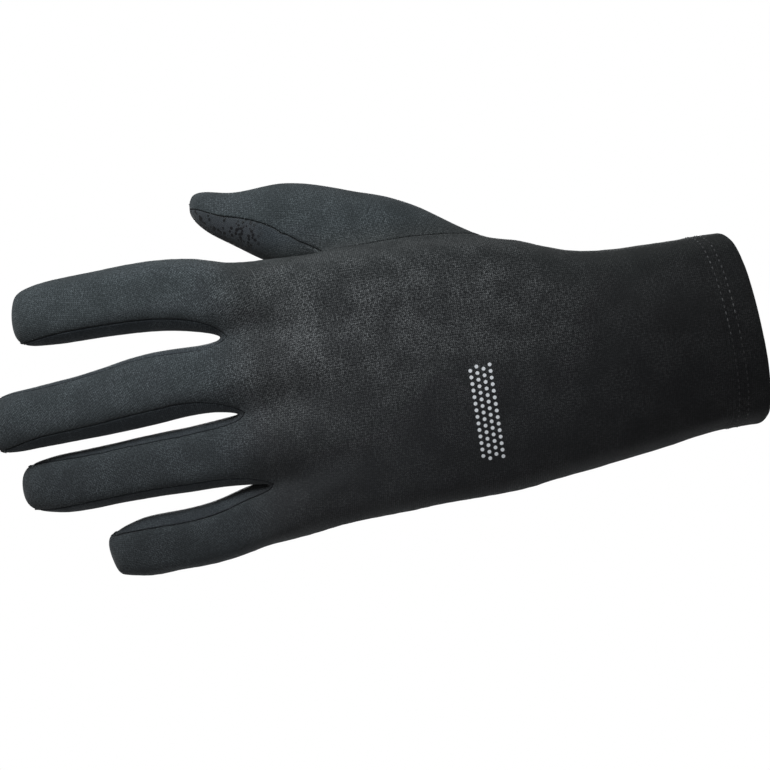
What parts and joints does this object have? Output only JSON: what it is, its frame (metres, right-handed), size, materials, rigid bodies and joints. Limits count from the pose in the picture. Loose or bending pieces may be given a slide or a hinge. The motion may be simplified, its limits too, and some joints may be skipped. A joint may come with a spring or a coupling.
{
  "type": "glove liner",
  "caption": "Thin black stretch-knit glove liner for a left hand, in its worn form, sewn from panels with side strips between the fingers and a stitched hem at the cuff",
  "frame": {"origin": "The centre of the cuff's mouth, on the cuff's mean edge.", "axes": "+X runs out of the cuff along the forearm, +Z is the thumb side, and -Y is the back of the hand."},
  "size_m": [0.2652, 0.0548, 0.1306],
  "materials": {
    "back_jersey": "matte charcoal stretch jersey",
    "palm_jersey": "matte charcoal stretch jersey",
    "side_jersey": "matte charcoal stretch jersey",
    "cuff_jersey": "matte charcoal stretch jersey, folded double and stitched"
  },
  "bodies": {
    "root": {"back_panel": "back_jersey", "palm_panel": "palm_jersey", "thumb_back": "back_jersey", "fourchette_index_middle": "side_jersey", "fourchette_middle_ring": "side_jersey", "fourchette_ring_little": "side_jersey", "cuff_hem": "cuff_jersey"}
  },
  "joints": []
}
